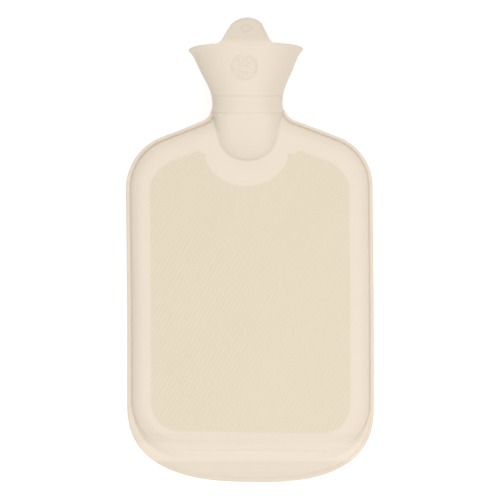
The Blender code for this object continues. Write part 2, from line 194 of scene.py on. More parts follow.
def combine(base, other, operation):
    # joins or cuts at once, so that the next step reads the result, which is made again with the other shape
    # nudged where its volume says that a shape was lost
    before, added = volumeOf(base.data), volumeOf(other.data)
    least, slack = joinForm["leastShare"] * added, joinForm["slack"]
    step = base.modifiers.new(other.name, "BOOLEAN")
    step.operation = operation
    step.solver = "EXACT"
    step.object = other
    for attempt in range(joinForm["tries"]):
        other.location.y = joinForm["nudge"] * attempt
        bpy.context.view_layer.update()
        made = bpy.data.meshes.new_from_object(base.evaluated_get(bpy.context.evaluated_depsgraph_get()))
        change = volumeOf(made) - before
        if operation == "UNION":
            sound = least < change < added + slack * before
        else:
            sound = -(1 + slack) * added < change < -least
        if sound:
            break
        print(other.name, "came out wrong, change", round(change), "of", round(added))
    else:
        raise RuntimeError(f"{other.name} can't be joined or cut")
    base.modifiers.clear()
    base.data = made
    bpy.data.objects.remove(other)


def finishPiece(piece, material, body, node, sharpAngle=50):
    # brings a piece to metres and hands it to the frame
    for vert in piece.data.vertices:
        vert.co *= metre
    piece.data.shade_smooth()
    piece.data.set_sharp_from_angle(angle=math.radians(sharpAngle))
    piece.data.materials.clear()
    piece.data.materials.append(material)
    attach(piece, body)
    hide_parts(node)
    print(piece.name, "finished:", len(piece.data.polygons), "faces")


# ---- the bottle's body: flap, seam bead, walls and panels

bodyForm = {
    "length": 374.2,
    "halfWidth": 99.2,
    "halfHeight": 12.0,          # seam to panel
    "frontCrown": 2.0,           # the front panel swells this much more
    "crownHalfWidth": 80.0,
    "crownPower": 1.5,
    "crownBottomY": -147.0,
    "crownTopY": 108.0,
    "crownRuns": (60.0, 50.0),   # it grows over the first at its bottom and fades over the second at its top
    "crownFullZ": 9.5,           # points this high over the seam take all of it
    "bottomDepth": 63.3,
    "bottomSquareness": 2.6,
    "bottomSkew": 0.014,         # the bottom was trimmed a little askew
    "skewFromY": -60.0,
    "skewRun": 80.0,
    "partingY": -117.0,          # below it the wall leaves the edge to make room for the flap
    "footInset": 3.5,            # outer edge to the foot of the wall
    "footBottomY": -162.0,
    "footCorner": 39.0,
    "shoulderY": 49.9,
    "shoulderRadius": 43.3,
    "shoulderSlope": math.radians(21.1),
    "neckFillet": 12.0,
    "neckSideX": 29.2,
    "seamTopY": 112.0,
    "liftStartY": 5.0,           # from here the body rises up to the neck
    "neckZ": 24.0,
    # y, how far the middle stands to the right
    "drift": [(-48, 0.7), (48, -0.3), (96, 0.5), (112, -1.6), (124, -2.0), (140, -2.7), (158, -3.0),
              (172, -3.0), (180, -2.4), (186, -1.7)],
}
wallForm = {
    "bead": [(0.0, 0.0), (0.12, 0.9), (0.35, 1.6), (0.75, 2.1), (1.4, 2.4), (2.1, 2.45), (2.55, 2.3),
             (2.8, 2.0), (2.95, 1.85)],      # inset, height
    "flapHeight": 1.95,
    "slopeReach": 8.5,           # the flap climbs over this stretch to the foot of the wall
    "mostReach": 0.45,           # but never over more than this share of its width
    "footSwell": 0.06,
    "footSwellWidth": 0.25,
    "flapSteps": (1.6, 1.25, 1.0, 0.75, 0.4, 0.07),
    "footHeightSide": 1.9,
    "wallSteps": (0, 0.25, 0.7, 1.3, 2.1, 3.1, 4.3, 5.7, 7.2, 8.4, 9.4, 10.4, 11.6, 13.0, 14.4),
    "sideCurve": (3.0, 0.62),    # exponents of the side wall's round
    # the bottom's wall and the shoulders' wall are wider than the sides' by these shares
    "bottomWidening": -0.04,
    "shoulderWidening": 0.16,
    "shoulderFromY": 45.0,
    "shoulderRun": 35.0,
    "bottomSlope": 0.63,
    "bottomBreak": 9.5,          # inset where the bottom wall begins to fall
    "bottomRound": 0.7,
    "levelFrom": 12.0,           # inset from which the bottom wall is brought level with the panel
    "levelRun": 2.0,
    "crease": 0.25,
    "bottomFlap": 10.0,          # a flap this wide has the bottom's wall
    # inset from the edge, shift to the right: the wall stands a little off the middle of its seam
    "offset": [(2.4, 0.0), (3.4, 0.3), (17.8, 0.0)],
}
waterForm = {
    "section": [(2.6, 0.0), (3.0, 3.2), (4.0, 5.0), (5.4, 6.4), (7.3, 7.8), (9.6, 8.7), (12.5, 9.3),
                (16.0, 9.5)],    # inset, height
    "topY": 97.0,
    "cutFromY": -120.0,
    "cutStep": 8.0,
    "cuts": 27,
}


def driftAt(y):
    return readRow(bodyForm["drift"], y)[0]


def liftAt(y):
    run = bodyForm["seamTopY"] - bodyForm["liftStartY"]
    return (bodyForm["neckZ"] - bodyForm["halfHeight"]) * smoothStep((y - bodyForm["liftStartY"]) / run)


def flatten(mesh):
    # takes a shape made in its true place into the straight, level space in which the parts are joined
    for vert in mesh.verts:
        x, y, z = vert.co
        vert.co = (x - driftAt(y), y, z - bodyForm["halfHeight"] - liftAt(y))


def settle(mesh):
    # bends the straight, level bottle to its true form, with the front's crown
    grows, fades = bodyForm["crownRuns"]
    for vert in mesh.verts:
        x, y, z = vert.co
        along = smoothStep((y - bodyForm["crownBottomY"]) / grows)
        along *= smoothStep((bodyForm["crownTopY"] - y) / fades)
        across = max(0.0, 1 - (x / bodyForm["crownHalfWidth"]) ** 2) ** bodyForm["crownPower"]
        crown = bodyForm["frontCrown"] * along * across
        skew = bodyForm["bottomSkew"] * x * smoothStep((bodyForm["skewFromY"] - y) / bodyForm["skewRun"])
        z += crown * max(0.0, min(1.0, z / bodyForm["crownFullZ"]))
        vert.co = (x + driftAt(y), y - skew, z + bodyForm["halfHeight"] + liftAt(y))


def inwardNormals(points):
    normals = [Vector((0, 1))]
    for before, after in zip(points, points[2:]):
        normals.append(Vector((before[1] - after[1], after[0] - before[0])).normalized())
    return normals + [Vector((-1, 0))]


def bodyStations():
    # right half of the seam's edge and of the wall's foot, from the bottom's middle to the neck
    side, bottomY, steps = bodyForm["halfWidth"], -bodyForm["length"] / 2, 76
    power = 2 / bodyForm["bottomSquareness"]
    bottom = []
    for step in range(241):
        turn = math.pi / 2 * step / 240
        rise = bodyForm["bottomDepth"] * (1 - max(0.0, math.cos(turn)) ** power)
        bottom.append((side * math.sin(turn) ** power, bottomY + rise))
    edge = spaced(bottom + [(side, bodyForm["partingY"])], steps)
    footSide, corner = side - bodyForm["footInset"], bodyForm["footCorner"]
    centre = (footSide - corner, bodyForm["footBottomY"] + corner)
    foot = spaced([(0.0, bodyForm["footBottomY"])] + arcPoints(centre, corner, -math.pi / 2, 0, 60)
                  + [(footSide, bodyForm["partingY"])], steps)
    parted = len(edge)
    y = bodyForm["partingY"] + 6
    while y < bodyForm["shoulderY"] - 3:
        edge.append((side, y))
        y += 6
    radius, turned = bodyForm["shoulderRadius"], math.pi / 2 - bodyForm["shoulderSlope"]
    edge += arcPoints((side - radius, bodyForm["shoulderY"]), radius, 0, turned, 27)
    x, y = edge[-1]
    slope, fillet = math.tan(bodyForm["shoulderSlope"]), bodyForm["neckFillet"]
    filletX = bodyForm["neckSideX"] + fillet
    filletY = y + (x - bodyForm["neckSideX"]) * slope + fillet * math.tan(turned / 2)
    run = x - (filletX - fillet * math.cos(turned))
    edge += [(x - run * share / 12, y + run * share / 12 * slope) for share in range(1, 12)]
    seamEnd = math.asin((filletY - bodyForm["seamTopY"]) / fillet)
    edge += arcPoints((filletX, filletY), fillet, math.pi + turned, math.pi + seamEnd, 10)
    normals = inwardNormals(edge)
    foot += [(Vector(point) + normal * bodyForm["footInset"])[:]
             for point, normal in list(zip(edge, normals))[parted:]]
    return list(zip(map(Vector, edge), normals, map(Vector, foot), inwardNormals(foot)))


def skinPlaces(station):
    # the outer skin's section at one station, edge to panel, as (point, height)
    edge, edgeNormal, foot, footNormal = station
    places = [(edge + edgeNormal * inset, height) for inset, height in wallForm["bead"]]
    groove = places[-1][0]
    flap = (groove - foot).length
    bottom = smoothStep(flap / wallForm["bottomFlap"])
    reach = min(wallForm["slopeReach"], wallForm["mostReach"] * flap)
    panel = bodyForm["halfHeight"]
    base = wallForm["footHeightSide"]
    footHeight = mix(base, panel - wallForm["bottomSlope"] * wallForm["bottomBreak"], bottom)
    for share in wallForm["flapSteps"]:
        swell = wallForm["footSwell"] * max(0.0, 1 - abs(share - 1) / wallForm["footSwellWidth"])
        climb = max(0.0, 1 - share) + swell
        places.append((foot.lerp(groove, share * reach / flap),
                       mix(wallForm["flapHeight"], footHeight, climb)))
    width = wallForm["wallSteps"][-1]
    widening = 1 + wallForm["bottomWidening"] * bottom
    onShoulder = smoothStep((edge.y - wallForm["shoulderFromY"]) / wallForm["shoulderRun"])
    widening += wallForm["shoulderWidening"] * onShoulder
    (first, second), softness = wallForm["sideCurve"], wallForm["bottomRound"]
    for inset in wallForm["wallSteps"]:
        sideHeight = base + (panel - base) * (1 - (1 - inset / width) ** first) ** second
        fall = softness * math.log1p(math.exp((wallForm["bottomBreak"] - inset) / softness))
        level = smoothStep((inset - wallForm["levelFrom"]) / wallForm["levelRun"])
        bottomHeight = panel - wallForm["bottomSlope"] * fall * (1 - level)
        height = mix(sideHeight, bottomHeight, bottom) - (wallForm["crease"] if inset == 0 else 0.0)
        places.append((foot + footNormal * inset * widening, height))
    return places


def waterPlaces(station):
    return [(station[2] + station[3] * inset, height) for inset, height in waterForm["section"]]


def buildSkins(stations, section):
    # both skins, each extruded ring by ring from the seam's edge inwards, and closed by its panel
    sections = [section(station) for station in stations]
    around = [(places, -1) for places in sections[:0:-1]] + [(places, 1) for places in sections]
    mesh = bmesh.new()
    seam = startChain(mesh, [(side * places[0][0].x, places[0][0].y, 0) for places, side in around])
    panels = []
    for face in (1, -1):
        chain = seam
        for k in range(1, len(sections[0])):
            spots = []
            for places, side in around:
                offset = readRow(wallForm["offset"], (places[k][0] - places[0][0]).length)[0]
                spots.append((side * places[k][0].x + offset, places[k][0].y, face * places[k][1]))
            chain = extrudeTo(mesh, chain, spots)
        panels.append(mesh.faces.new(chain))
    closeHoles(mesh)
    return mesh, panels


tongueZone = {                   # smooth ground left free of ribs round the tongue
    "centreX": -2.6,
    "centreY": 81.0,
    "halfWidth": 33.2,
    "depth": 29.0,
    "endX": 40.0,
    "cell": 1.3,                 # its fine grid
}


def splitTongueZone(mesh, panel):
    # cuts the ground round the tongue out of a panel and grids it
    x0, y0, z0 = tongueZone["centreX"], tongueZone["centreY"], panel.verts[0].co.z
    shoulder = [vert for vert in panel.verts if vert.co.y > 60]
    ends = [min(shoulder, key=lambda vert: abs(vert.co.x - side * tongueZone["endX"])) for side in (-1, 1)]
    turns = [math.radians(188 + 164 * step / 44) for step in range(45)]
    path = [(x0 + tongueZone["halfWidth"] * math.cos(turn), y0 + tongueZone["depth"] * math.sin(turn), z0)
            for turn in turns]
    other, _ = bmesh.utils.face_split(panel, ends[0], ends[1], coords=path)
    zone = min(panel, other, key=lambda face: face.calc_area())
    ys = [vert.co.y for vert in zone.verts]
    steps = int((max(ys) - min(ys)) / tongueZone["cell"])
    faces = cutAcross(mesh, [zone], (0, 1, 0),
                      [min(ys) + (step + 0.5) * tongueZone["cell"] for step in range(steps)])
    half = int(45 / tongueZone["cell"])
    cutAcross(mesh, faces, (1, 0, 0), [(step + 0.5) * tongueZone["cell"] for step in range(-half, half)])


def makeBody():
    mesh, panels = buildSkins(bodyStations(), skinPlaces)
    for panel in panels:
        splitTongueZone(mesh, panel)
    bmesh.ops.recalc_face_normals(mesh, faces=mesh.faces[:])
    return makeObject("rubberBottle", mesh)


def makeWaterSpace():
    mesh, _ = buildSkins(bodyStations()[::2] + bodyStations()[-1:], waterPlaces)
    everything = mesh.verts[:] + mesh.edges[:] + mesh.faces[:]
    bmesh.ops.bisect_plane(mesh, geom=everything, plane_co=(0, waterForm["topY"], 0), plane_no=(0, 1, 0),
                           clear_outer=True)
    closeHoles(mesh)
    cutAcross(mesh, mesh.faces[:], (0, 1, 0),
              [waterForm["cutFromY"] + waterForm["cutStep"] * step for step in range(waterForm["cuts"])])
    bmesh.ops.recalc_face_normals(mesh, faces=mesh.faces[:])
    return makeObject("waterSpace", mesh)


# ---- tongue, neck and funnel in one run, joined to the body

neckForm = {
    "points": 128,
    "tongueY": 105.0,
    "tongueTip": 71.7,
    "tongueRoundFrom": 95.5,
    "tongueWidths": [(95.5, 24.5), (105.0, 25.2)],   # half width where it leaves the body's face
    "tongueRoundness": 2.2,
    "tongueX": -1.6,
    "frontRise": [(71, 4.4), (80, 5.2), (88, 5.9), (97, 6.6), (105, 7.3)],   # above the body's face
    "backRise": [(71, 2.4), (80, 4.0), (88, 5.4), (105, 7.4)],
    "tongueSquareness": [(71, 2.5), (95, 2.7), (105, 3.2)],
    "tipRound": 18.0,
    # y, half width, half depth, squareness
    "rows": [(105.0, 27.2, 19.35, 3.2), (112.0, 28.9, 20.0, 2.3), (117.0, 28.1, 19.6, 2.1),
             (124.3, 29.0, 20.0, 2.1), (128.0, 29.9, 20.4, 2.1), (143.0, 36.8, 21.9, 2.15),
             (155.6, 42.6, 23.2, 2.2), (157.2, 43.7, 23.5, 2.2), (158.4, 44.8, 23.7, 2.2),
             (159.4, 45.7, 23.9, 2.2), (160.2, 46.2, 24.0, 2.2), (160.9, 46.1, 23.8, 2.2),
             (161.5, 45.4, 23.2, 2.2), (161.9, 44.5, 22.4, 2.2), (162.1, 43.4, 21.6, 2.2)],
    "lipCrestY": 160.2,
    "tongueRings": 30,
    "step": 1.3,
    "lipFromY": 155.0,           # from here the rings are those of the rows
    "straightFromY": 112.0,      # below it the middle follows the tongue's
    "grooves": (109.6, 123.3),
    "grooveDepth": 0.42,
    "grooveWidth": 0.45,
    "grooveClear": 3.2,          # in widths: no even ring this near a groove
    "grooveRings": (-2.4, -1.5, -0.75, 0, 0.75, 1.5, 2.4),
    # how much further out than its sides the front and the back of the mouth stand
    "mouthTilt": [(140, 0.0, 0.0), (146, 0.6, 0.2), (159, 4.2, 1.2)],
    "mouthSkew": 0.010,          # and its right more than its left
    "tongueBlend": (66, 3, 3),   # from this height, rings of points round the crease, passes
    "tabBlend": (160, 2, 8),
}


def superellipse(halfWidth, front, back, squareness, points):
    power = 2 / squareness
    line = []
    for k in range(4 * points + 1):
        turn = 2 * math.pi * k / (4 * points)
        across, up = math.cos(turn), math.sin(turn)
        depth = front if up > 0 else back
        line.append((halfWidth * math.copysign(abs(across) ** power, across),
                     depth * math.copysign(abs(up) ** power, up)))
    return spaced(line, points)[:-1]


def mouthTilt(y, x, up):
    front, back = readRow(neckForm["mouthTilt"], y)
    return (front * up if up > 0 else -back * up) + neckForm["mouthSkew"] * x * smoothStep((y - 140) / 19)


def neckRings():
    rings = []
    tip, roundFrom = neckForm["tongueTip"], neckForm["tongueRoundFrom"]
    roundness = neckForm["tongueRoundness"]
    base = bodyForm["halfHeight"]
    for step in range(1, neckForm["tongueRings"]):
        y = mix(tip, neckForm["tongueY"], 1 - math.cos(math.pi / 2 * step / neckForm["tongueRings"]))
        rounding = math.sqrt(1 - (1 - min(1.0, (y - tip) / neckForm["tipRound"])) ** 2)
        front = base + readSmooth(neckForm["frontRise"], y)[0] * rounding
        back = base + readSmooth(neckForm["backRise"], y)[0] * rounding
        seen = readSmooth(neckForm["tongueWidths"], y)[0]
        seen *= (1 - max(0.0, (roundFrom - y) / (roundFrom - tip)) ** roundness) ** (1 / roundness)
        squareness = readSmooth(neckForm["tongueSquareness"], y)[0]
        halfWidth = seen / (1 - (base / front) ** squareness) ** (1 / squareness)
        section = superellipse(halfWidth, front, back, squareness, neckForm["points"])
        x0 = neckForm["tongueX"] - driftAt(y)
        rings.append([(x + x0, y, z) for x, z in section])
    rows = neckForm["rows"]
    heights = {row[0] for row in rows if row[0] >= neckForm["lipFromY"]} | {rows[0][0]}
    y = rows[0][0] + neckForm["step"]
    while y < neckForm["lipFromY"]:
        heights.add(y)
        y += neckForm["step"]
    width = neckForm["grooveWidth"]
    for groove in neckForm["grooves"]:
        heights = {y for y in heights if abs(y - groove) > neckForm["grooveClear"] * width}
        heights |= {groove + width * step for step in neckForm["grooveRings"]}
    for y in sorted(heights):
        halfWidth, depth, squareness = readSmooth(rows, y)
        cut = sum(math.exp(-((y - groove) / width) ** 2) for groove in neckForm["grooves"])
        cut *= neckForm["grooveDepth"]
        x0 = (neckForm["tongueX"] - driftAt(y)) if y < neckForm["straightFromY"] else 0.0
        section = superellipse(halfWidth - cut, depth - cut, depth - cut, squareness, neckForm["points"])
        rings.append([(x + x0, y + mouthTilt(y, x, z / depth), z) for x, z in section])
    return rings


def loft(rings):
    mesh = bmesh.new()
    chain = startChain(mesh, rings[0], closed=True)
    mesh.faces.new(chain)
    for ring in rings[1:]:
        chain = extrudeTo(mesh, chain, ring, closed=True)
    mesh.faces.new(chain)
    bmesh.ops.recalc_face_normals(mesh, faces=mesh.faces[:])
    return mesh


def surfaceTree(piece):
    mesh = bmesh.new()
    mesh.from_mesh(piece.data)
    tree = BVHTree.FromBMesh(mesh)
    mesh.free()
    return tree


def softenSeam(bottle, surfaces, fromY, rings, passes):
    # rounds the crease where two shapes were joined
    mesh = bmesh.new()
    mesh.from_mesh(bottle.data)
    near = set()
    for vert in mesh.verts:
        if vert.co.y > fromY and all(tree.find_nearest(vert.co, 0.02)[0] is not None for tree in surfaces):
            near.add(vert)
    for _ in range(rings):
        near |= {edge.other_vert(vert) for vert in near for edge in vert.link_edges}
    for _ in range(passes):
        bmesh.ops.smooth_vert(mesh, verts=list(near), factor=0.5, use_axis_x=True, use_axis_y=True,
                              use_axis_z=True)
    mesh.to_mesh(bottle.data)
    mesh.free()


# ---- inside of the neck

hollowForm = {
    # throat, in its true place: y, half width, half depth, middle z
    "throat": [(84, 12, 9, 22), (89, 12.2, 11, 23.2), (94, 12.5, 12.5, 24), (100.5, 12.5, 12.5, 24)],
    # funnel: y, half width, half depth
    "funnel": [(121.8, 17.6, 16.9), (123, 18.9, 17.1), (130, 24.0, 17.4), (144, 32.8, 18.9),
               (155.6, 40.0, 20.2), (160, 42.2, 20.6), (161.4, 42.6, 20.8), (162.1, 43.2, 21.3),
               (164, 45.0, 23.0)],
    "funnelSquareness": 2.2,
    "axis": (-1.6, 122.0, 24.0),
    "socketRadius": 15.3,
    "ringRadius": 17.3,
    "ringFrom": -15.3,
    "ringTo": -9.7,
    "socketBottom": -22.3,
}


def turnedPiece(profile, steps):
    # turns a line of (radius, height) about local Z
    mesh = bmesh.new()
    verts = startChain(mesh, [(radius, 0, height) for radius, height in profile], closed=profile[0][0] > 0)
    bmesh.ops.spin(mesh, geom=verts + mesh.edges[:], axis=(0, 0, 1), cent=(0, 0, 0), angle=2 * math.pi,
                   steps=steps, use_merge=True)
    bmesh.ops.remove_doubles(mesh, verts=mesh.verts[:], dist=0.001)
    bmesh.ops.recalc_face_normals(mesh, faces=mesh.faces[:])
    return mesh


def ontoAxis(mesh):
    # local Z becomes the neck's axis, its zero at the insert's top
    x0, y0, z0 = hollowForm["axis"]
    for vert in mesh.verts:
        x, y, z = vert.co
        vert.co = (x0 + x, y0 + z, z0 - y)


def makeThroat():
    rings = []
    for step in range(9):
        y = mix(84, 100.5, step / 8)
        halfWidth, depth, z0 = readSmooth(hollowForm["throat"], y)
        section = superellipse(halfWidth, depth, depth, 2.0, 64)
        rings.append([(x + neckForm["tongueX"], y, z + z0) for x, z in section])
    mesh = loft(rings)
    flatten(mesh)
    return makeObject("throatSpace", mesh)


def makeSocket():
    radius, ring = hollowForm["socketRadius"], hollowForm["ringRadius"]
    low, high, bottom = hollowForm["ringFrom"], hollowForm["ringTo"], hollowForm["socketBottom"]
    mesh = turnedPiece([(0, bottom), (radius, bottom), (radius, low), (ring, low), (ring, high),
                        (radius, high), (radius, -4), (radius, 0.6), (0, 0.6)], 96)
    ontoAxis(mesh)
    flatten(mesh)
    return makeObject("insertSocket", mesh)


def makeFunnelSpace():
    rows = hollowForm["funnel"]
    heights = [row[0] for row in rows]
    heights += [y for y in range(125, 154, 3) if y not in heights]
    rings = []
    for y in sorted(heights):
        halfWidth, depth = readSmooth(rows, y)
        section = superellipse(halfWidth, depth, depth, hollowForm["funnelSquareness"], neckForm["points"])
        rings.append([(x, y + mouthTilt(y, x, z / depth), z) for x, z in section])
    return makeObject("funnelSpace", loft(rings))


# ---- hanging tab, which carries on the funnel's front

tabForm = {
    # y, half width
    "outline": [(159.0, 27.0), (164.1, 27.0), (165.1, 24.6), (165.9, 22.3), (167.2, 20.4), (169.1, 18.9),
                (173.9, 16.35), (178.7, 13.6), (181.0, 12.37)],
    "rootY": 160.0,
    "topCentreY": 168.9,
    "topRadius": 17.3,
    "topFromY": 181.0,
    "topEnd": math.radians(88.5),
    "thickness": 2.4,
    "sink": 0.35,                # slope at which its root goes under the funnel's skin
    "columns": 90,
    "rowStep": 0.45,
    "rows": 51,
    "topRows": 22,
    "lean": 0.88,                # true distance to its slanting side, against that measured across
    "beadFromY": 166.0,
    "beadRun": 3.0,
    "beadWidth": 1.7,
    "beadHeight": 0.65,
    "roundFromY": 164.2,
    "rimRound": 0.5,
    "ovalCentre": (0.2, 177.1),
    "ovalSize": (3.7, 2.4),
    "ovalWidth": 0.22,
    "ovalHeight": 0.6,
}


def tabHeight(x, y):
    # relief on the tab's front: its edge bead and a blind oval
    if y > tabForm["topFromY"]:
        fromEdge = tabForm["topRadius"] - math.hypot(x, y - tabForm["topCentreY"])
    else:
        fromEdge = (readSmooth(tabForm["outline"], y)[0] - abs(x)) * tabForm["lean"]
    width = tabForm["beadWidth"]
    bead = math.exp(-((fromEdge - 0.55 * width) / (0.42 * width)) ** 2)
    bead *= smoothStep((y - tabForm["beadFromY"]) / tabForm["beadRun"])
    x0, y0 = tabForm["ovalCentre"]
    reach = math.hypot((x - x0) / tabForm["ovalSize"][0], (y - y0) / tabForm["ovalSize"][1])
    oval = math.exp(-((reach - 1) / tabForm["ovalWidth"]) ** 2)
    return tabForm["beadHeight"] * bead + tabForm["ovalHeight"] * oval


def makeTab():
    radius, centre = tabForm["topRadius"], tabForm["topCentreY"]
    heights = [tabForm["rootY"] + tabForm["rowStep"] * step for step in range(tabForm["rows"])]
    last, end, steps = math.asin((heights[-1] - centre) / radius), tabForm["topEnd"], tabForm["topRows"]
    heights += [centre + radius * math.sin(mix(last, end, step / steps)) for step in range(1, steps + 1)]
    crestY = neckForm["lipCrestY"]
    lipWidth, lipDepth, squareness = readRow(neckForm["rows"], crestY)
    mesh = bmesh.new()
    columns = tabForm["columns"]
    spread = [math.sin(math.pi / 2 * (2 * k / columns - 1)) for k in range(columns + 1)]
    chain = None
    for y in heights:
        if y > tabForm["topFromY"]:
            halfWidth = math.sqrt(radius ** 2 - (y - centre) ** 2)
        else:
            halfWidth = readSmooth(tabForm["outline"], y)[0]
        spots = []
        for share in spread:
            x = halfWidth * share
            up = (1 - abs(x / lipWidth) ** squareness) ** (1 / squareness)
            sink = tabForm["sink"] * max(0.0, crestY + mouthTilt(crestY, x, up) - y)
            spots.append((x, y, lipDepth * up - tabForm["thickness"] - sink))
        chain = extrudeTo(mesh, chain, spots) if chain else startChain(mesh, spots)
    back = mesh.faces[:]
    made = bmesh.ops.extrude_face_region(mesh, geom=back)["geom"]
    for vert in made:
        if isinstance(vert, bmesh.types.BMVert):
            vert.co.z += tabForm["thickness"] + tabHeight(vert.co.x, vert.co.y)
    bmesh.ops.recalc_face_normals(mesh, faces=mesh.faces[:])
    rim = [edge for edge in mesh.edges
           if edge.calc_face_angle(0) > 1.0 and min(vert.co.y for vert in edge.verts) > tabForm["roundFromY"]]
    roundRim(mesh, rim, tabForm["rimRound"], 3)
    return makeObject("hangingTab", mesh)


# ---- ribs of the two panels

ribForm = {
    "pitch": 3.23,
    "angle": 60.9,               # their run, up to the right
    "depth": 0.3,
    "fade": 2.0,                 # smooth edge of the ribbed field
    "frontSteps": 8,             # cuts in one pitch
    "backSteps": 6,
    "cellLength": 4.5,
    "halfReach": 270.0,          # the cuts cover this much on both sides of the middle
    "hollow": 1.3,               # above 1 the ribs are wider than the hollows between them
}


def cutRibs(mesh, mask):
    # grids both panels along and across their ribs
    turn = math.radians(ribForm["angle"])
    along, across = (math.cos(turn), math.sin(turn), 0), (math.sin(turn), -math.cos(turn), 0)
    panels = sorted(mesh.faces, key=lambda face: face.calc_area())[-2:]
    for panel in panels:
        steps = ribForm["frontSteps"] if panel.calc_center_median().z > 0 else ribForm["backSteps"]
        band = bmesh.ops.inset_region(mesh, faces=[panel], thickness=ribForm["fade"], use_even_offset=True,
                                      use_boundary=True)["faces"]
        for vert in panel.verts:
            vert[mask] = 1.0
        count = round(ribForm["halfReach"] / ribForm["cellLength"])
        faces = cutAcross(mesh, [panel], along,
                          [ribForm["cellLength"] * step for step in range(-count, count + 1)])
        cell = ribForm["pitch"] / steps
        count = round(ribForm["halfReach"] / cell)
        cutAcross(mesh, faces + band, across, [cell * step for step in range(-count, count)])


def raiseRibs(mesh, mask):
    turn = math.radians(ribForm["angle"])
    for vert in mesh.verts:
        share = smoothStep(vert[mask])
        if share:
            phase = 2 * math.pi * (vert.co.x * math.sin(turn) - vert.co.y * math.cos(turn)) / ribForm["pitch"]
            sink = ribForm["depth"] * share * (0.5 - 0.5 * math.cos(phase)) ** ribForm["hollow"]
            vert.co.z -= math.copysign(sink, vert.co.z)


# ---- plain rosette moulded on the funnel's front

rosetteForm = {
    "centre": (-1.3, 146.4),
    "radius": 10.6,
    "petals": 12,
    "petalFrom": 3.6,
    "petalTo": 8.9,
    "petalGap": 0.36,            # half of the groove between two petals
    "petalSide": 0.6,            # run of a petal's flanks
    "petalEnd": 0.5,
    "ringInset": 0.6,
    "ringWidth": 0.42,
    "hubRadius": 2.1,
    "hubWidth": 0.4,
    "dotRadius": 0.5,
    "height": 0.5,
    "margin": 1.0,               # how far its relief runs out past the radius
    "gridMargin": 1.8,           # and the fine grid that carries it
    "frontFromZ": 18.0,
    "frontNormal": 0.5,
    "cuts": 3,
}


def rosetteHeight(x, y):
    x0, y0 = rosetteForm["centre"]
    reach, turn = math.hypot(x - x0, y - y0), math.atan2(y - y0, x - x0)
    ringRadius = rosetteForm["radius"] - rosetteForm["ringInset"]
    ring = math.exp(-((reach - ringRadius) / rosetteForm["ringWidth"]) ** 2)
    hub = math.exp(-((reach - rosetteForm["hubRadius"]) / rosetteForm["hubWidth"]) ** 2)
    hub += math.exp(-(reach / rosetteForm["dotRadius"]) ** 2)
    sector = 2 * math.pi / rosetteForm["petals"]
    offCentre = abs((turn / sector + 0.5) % 1 - 0.5) * sector * reach      # along the round
    halfWidth = reach * sector / 2
    end = rosetteForm["petalEnd"]
    inside = smoothStep((halfWidth - rosetteForm["petalGap"] - offCentre) / rosetteForm["petalSide"])
    inside *= smoothStep((reach - rosetteForm["petalFrom"]) / end + 0.5)
    inside *= smoothStep((rosetteForm["petalTo"] - reach) / end + 0.5)
    return rosetteForm["height"] * max(ring, hub, inside)


def mouldRosette(mesh):
    x0, y0 = rosetteForm["centre"]

    def onFront(place, normal, margin):
        facing = normal.z > rosetteForm["frontNormal"] and place.z > rosetteForm["frontFromZ"]
        return facing and math.hypot(place.x - x0, place.y - y0) < rosetteForm["radius"] + margin

    faces = [face for face in mesh.faces
             if onFront(face.calc_center_median(), face.normal, rosetteForm["gridMargin"])]
    edges = {edge for face in faces for edge in face.edges}
    bmesh.ops.subdivide_edges(mesh, edges=list(edges), cuts=rosetteForm["cuts"], use_grid_fill=True,
                              smooth=0.0)
    for vert in mesh.verts:
        if onFront(vert.co, vert.normal, rosetteForm["margin"]):
            vert.co.z += rosetteHeight(vert.co.x, vert.co.y)


# ---- painted shade: the rubber's colour is darkened where the neck and the tongue turn away from the front

flankForm = {
    "reach": 0.7,                # how near the neck's own skin a point has to be
    # how far a point is tilted, share of the painted shade on the left and on the right
    "tilts": [(0.15, 0.0, 0.0), (0.4, 0.25, 0.4), (0.55, 0.3, 0.5), (0.7, 0.5, 0.35), (0.85, 0.8, 0.28),
              (1.0, 1.1, 0.2)],
    "tipY": 100.0,
    "tipRun": 15.0,
    "tipShare": 0.9,             # painted shade for the tongue's slope down to its tip
}


def neckPoints(mesh, neckSkin):
    limit = neckForm["tongueTip"] - 1
    return [vert for vert in mesh.verts
            if vert.co.y > limit and neckSkin.find_nearest(vert.co, flankForm["reach"])[0] is not None]


# paints shade into the flankShade attribute from each point's tilt: sideways on the neck and tongue, and
# towards the foot on the tongue's tip
def shadeFlanks(mesh, points, shade):
    mesh.normal_update()
    for vert in points:
        x, y, _ = vert.normal
        left, right = readRow(flankForm["tilts"], abs(x))
        tip = flankForm["tipShare"] * max(0.0, -y)
        tip *= smoothStep((flankForm["tipY"] - vert.co.y) / flankForm["tipRun"])
        vert[shade] = max(right if x > 0 else left, tip)


def makeBottle(material):
    bottle = makeBody()
    print("body made")
    neck = makeObject("neckOutside", loft(neckRings()))
    bodySkin, neckSkin = surfaceTree(bottle), surfaceTree(neck)
    combine(bottle, neck, "UNION")
    softenSeam(bottle, (bodySkin, neckSkin), *neckForm["tongueBlend"])
    print("neck joined")
    for cutter in (makeWaterSpace(), makeThroat(), makeSocket(), makeFunnelSpace()):
        combine(bottle, cutter, "DIFFERENCE")
    tab = makeTab()
    tabSkin = surfaceTree(tab)
    combine(bottle, tab, "UNION")
    softenSeam(bottle, (neckSkin, tabSkin), *neckForm["tabBlend"])
    print("inside cut and tab joined")
    mesh = bmesh.new()
    mesh.from_mesh(bottle.data)
    mouldRosette(mesh)
    mask = mesh.verts.layers.float.new("ribMask")
    shade = mesh.verts.layers.float.new("flankShade")
    cutRibs(mesh, mask)
    raiseRibs(mesh, mask)
    neck = neckPoints(mesh, neckSkin)
    settle(mesh)
    shadeFlanks(mesh, neck, shade)
    mesh.to_mesh(bottle.data)
    mesh.free()
    print("ribs raised")
    finishPiece(bottle, material, "bottle", "rubber_bottle")
    return bottle


# ---- threaded insert, washer and stopper

